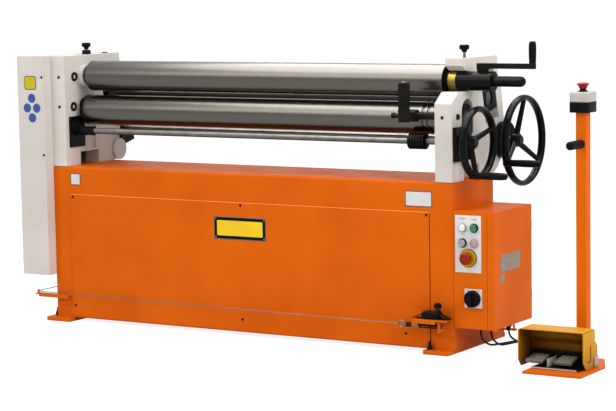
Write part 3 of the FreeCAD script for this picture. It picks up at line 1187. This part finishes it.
def pedal_body():
    """Low switch body under the pedals, with the pivot block at its back."""
    x0, x1 = HOOD_X0 + 8, HOOD_X1 - 8
    floor = STAND_T + TRAY_T
    back = PEDAL_PIVOT_Y + EAR_HALF
    tray = box(STAND_X0 + 4, x1 - 6, HOOD_FRONT - 8, HOOD_BACK - 8, STAND_T, floor)
    pieces = [tray, box(x0, x1, back, HOOD_BACK - 8, floor, BODY_TOP)]
    for x in PEDAL_X:
        for ear_x in (x - EAR_GAP - EAR_T, x + PEDAL_W + EAR_GAP):
            pieces.append(box(ear_x, ear_x + EAR_T, PEDAL_PIVOT_Y - EAR_HALF, back + 1, floor, EAR_TOP))
        pin = V(x - EAR_T / 2, PEDAL_PIVOT_Y, PEDAL_PIVOT_Z)
        pieces.append(rod(pin, X_AXIS, PEDAL_PIN_R, PEDAL_W + EAR_T))
    return together(pieces)


def pedal(x):
    """Ribbed tread that turns on the pin at its back."""
    tread = prism_yz([(PEDAL_PIVOT_Y + 5, PEDAL_PIVOT_Z - 4), (PEDAL_PIVOT_Y + 5, PEDAL_PIVOT_Z + 6),
                      (PEDAL_FRONT, PEDAL_PIVOT_Z - 5), (PEDAL_FRONT, PEDAL_PIVOT_Z - 16),
                      (PEDAL_FRONT + 4, PEDAL_PIVOT_Z - 18)], x, x + PEDAL_W)
    return tread.cut(rod(V(x - 1, PEDAL_PIVOT_Y, PEDAL_PIVOT_Z), X_AXIS, PEDAL_PIN_R + RUN, PEDAL_W + 2))


def hood_outline(inset):
    top = HOOD_TOP - inset
    back = HOOD_BACK - inset
    return [(HOOD_FRONT + 22, STAND_T), (HOOD_FRONT, 34), (HOOD_FRONT, top),
            (HOOD_BACK - 18 - inset, top), (HOOD_BACK - 20 - inset, 98), (back, 78), (back, STAND_T)]


def pedal_guard():
    """Hood open to the front, with a step at its back."""
    outer = prism_yz(hood_outline(0), HOOD_X0, HOOD_X1)
    top_edges = [edge for edge in outer.Edges if edge.CenterOfMass.z > HOOD_TOP - 1]
    ridge = [edge for edge in top_edges if edge.Length < HOOD_W / 2]
    outer = outer.makeFillet(12.0, ridge)
    inner = prism_yz([(HOOD_FRONT - 1, 0), (HOOD_FRONT - 1, HOOD_TOP - SHEET)]
                     + [(y, z) for y, z in hood_outline(SHEET)[3:-1]] + [(HOOD_BACK - SHEET, 0)],
                     HOOD_X0 + SHEET, HOOD_X1 - SHEET)
    glands = [tube(V(STAND_X0 + x, HOOD_BACK, 30), Y_AXIS, 8, CABLE_R + FIT, 12) for x in HOOD_GLANDS]
    return together([outer.cut(inner)] + glands)


# ---------------------------------------------------------------- cables
FLOOR_Z = CABLE_R + 0.1
HOOD_GLANDS = (40.0, 70.0)   # glands on the hood's back, from the stand's left edge
POST_ENTRY_Z = 44.0


def cable_start(index):
    x, y = GLANDS[index][:2]
    return V(BOX_LEFT + x, y, BOX_Z[0] - CABLE_START)


def spread(start, end, waypoints):
    """Waypoints given as the share of the way in X, the Y and the height above the floor."""
    middle = [V(start.x + share * (end.x - start.x), y, FLOOR_Z + z) for share, y, z in waypoints]
    return [start] + middle + [end]


def cable_points():
    """Corner points of the three cables, from the electric box to the pedal stand."""
    left_end = V(STAND_X0 + HOOD_GLANDS[0], HOOD_BACK + 8, 30)
    right_end = V(STAND_X0 + HOOD_GLANDS[1], HOOD_BACK + 8, 30)
    post_end = V(POST_X, POST_Y + POST_W / 2 - 2, POST_ENTRY_Z)
    left = [(0.0, GLANDS[2][1], 46.4), (0.0215, 221, 24.4), (0.086, 252, 8.4), (0.19, 282, 0),
            (0.34, 296, 0), (0.50, 278, 0), (0.65, 236, 0), (0.79, 186, 0), (0.89, 130, 1.5),
            (0.955, 78, 11), (0.995, 32, 22)]
    right = [(0.0, GLANDS[1][1], 46.4), (0.003, 174, 20.4), (0.014, 212, 2.4), (0.03, 254, 0),
             (0.06, 305, 0), (0.14, 341, 0), (0.28, 342, 0), (0.42, 316, 0), (0.56, 277, 0),
             (0.70, 232, 0), (0.82, 194, 0), (0.905, 154, 2), (0.965, 108, 11), (0.995, 54, 17),
             (1.0, 22, 26.4)]
    stop = [(0.0, GLANDS[0][1], 46.4), (0.0025, 158, 20.4), (0.015, 196, 2.4), (0.035, 238, 0),
            (0.08, 290, 0), (0.13, 350, 0), (0.28, 364, 0), (0.43, 338, 0), (0.57, 296, 0),
            (0.71, 250, 0), (0.83, 210, 0), (0.925, 182, 4), (0.985, 142, 20)]
    return {"cable_left_pedal": spread(cable_start(2), left_end, left),
            "cable_right_pedal": spread(cable_start(1), right_end, right),
            "cable_stop": spread(cable_start(0), post_end, stop)}


def cable(name, points, radius, widest=1000.0):
    """Round cable along straight runs joined by tangent arcs."""
    runs = [(b - a).Length for a, b in zip(points, points[1:])]
    edges = []
    here = points[0]
    bends = []
    for index in range(1, len(points) - 1):
        corner = points[index]
        back = (points[index - 1] - corner).normalize()
        ahead = (points[index + 1] - corner).normalize()
        half_turn = (math.pi - back.getAngle(ahead)) / 2
        bend = min(widest, 0.45 * min(runs[index - 1], runs[index]) / math.tan(half_turn))
        setback = bend * math.tan(half_turn)
        start = corner + back * setback
        end = corner + ahead * setback
        bisector = (back + ahead).normalize()
        middle = corner + bisector * (bend / math.cos(half_turn) - bend)
        edges.append(Part.LineSegment(here, start).toShape())
        edges.append(Part.Arc(start, middle, end).toShape())
        bends.append(bend)
        here = end
    edges.append(Part.LineSegment(here, points[-1]).toShape())
    path = Part.Wire(edges)
    direction = (points[1] - points[0]).normalize()
    section = Part.Wire(Part.Circle(points[0], direction, radius).toShape())
    solid = path.makePipeShell([section], True, False, 2)
    share = solid.Volume / (math.pi * radius ** 2 * path.Length)
    print(name, "length", round(path.Length), "runs", round(min(runs)), "to", round(max(runs)),
          "smallest bend", round(min(bends)), "volume share", round(share, 4))
    return solid


def main():
    front_axis = V(0, SHAFT_Y, SHAFT_Z)
    export("base_cabinet", base_cabinet())
    export("front_panel", front_panel())
    export("levelling_screws", levelling_screws())
    export("black_screws", black_screws())
    export("left_frame", left_frame())
    export("right_frame", right_frame())
    export("top_roll", top_roll())
    export("ball_ring", ball_ring())
    export("ball_seat", ball_seat())
    export("brass_bush", brass_bush())
    export("bearing_housing", bearing_housing())
    export("lock_crank", lock_crank())
    export("crank_grip", crank_grip())
    export("lower_roll", lower_roll())
    export("lower_blocks", lower_blocks())
    export("lift_gearboxes", lift_gearboxes())
    export("cross_shaft", cross_shaft())
    export("rear_roll", rear_roll())
    export("rear_blocks", rear_blocks())
    export("rear_gearboxes", rear_gearboxes())
    export("rear_shaft", rear_shaft())
    export("front_handwheel", handwheel(front_axis, FRONT_WHEEL))
    export("front_grip", wheel_grip(front_axis, FRONT_WHEEL))
    export("rear_handwheel", handwheel(REAR_SHAFT, REAR_WHEEL))
    export("rear_grip", wheel_grip(REAR_SHAFT, REAR_WHEEL))
    export("left_knob", left_knob())
    export("right_knob", star_knob(RIGHT_MID, KNOB_Y))
    export("cone_bar", cone_bar())
    export("cone_clamp", cone_clamp())
    export("cone_roller", cone_roller())
    export("drive_cover", drive_cover())
    export("top_gear", top_gear())
    export("lower_gear", lower_gear())
    export("gear_plate", gear_plate())
    export("output_sprocket", output_sprocket())
    export("drive_chain", drive_chain())
    export("gearmotor", gearmotor())
    export("ebox_body", ebox_body())
    export("ebox_door", ebox_door())
    export("control_plate", control_plate())
    export("green_button", push_button(1, 0))
    export("grey_button", push_button(0, 1))
    export("panel_estop", panel_estop())
    export("switch_knob", switch_knob())
    export("cable_glands", cable_glands())
    export("wire_brackets", wire_brackets())
    export("trip_wire", trip_wire())
    export("trip_switch", trip_switch())
    export("reset_knob", reset_knob())
    export("pedal_stand", pedal_stand())
    export("post_handle", post_handle())
    export("estop_box", estop_box())
    export("post_estop", post_estop())
    export("pedal_body", pedal_body())
    export("pedal_left", pedal(PEDAL_X[0]))
    export("pedal_right", pedal(PEDAL_X[1]))
    export("pedal_guard", pedal_guard())
    for name, points in cable_points().items():
        export(name, cable(name, points, CABLE_R))


main()
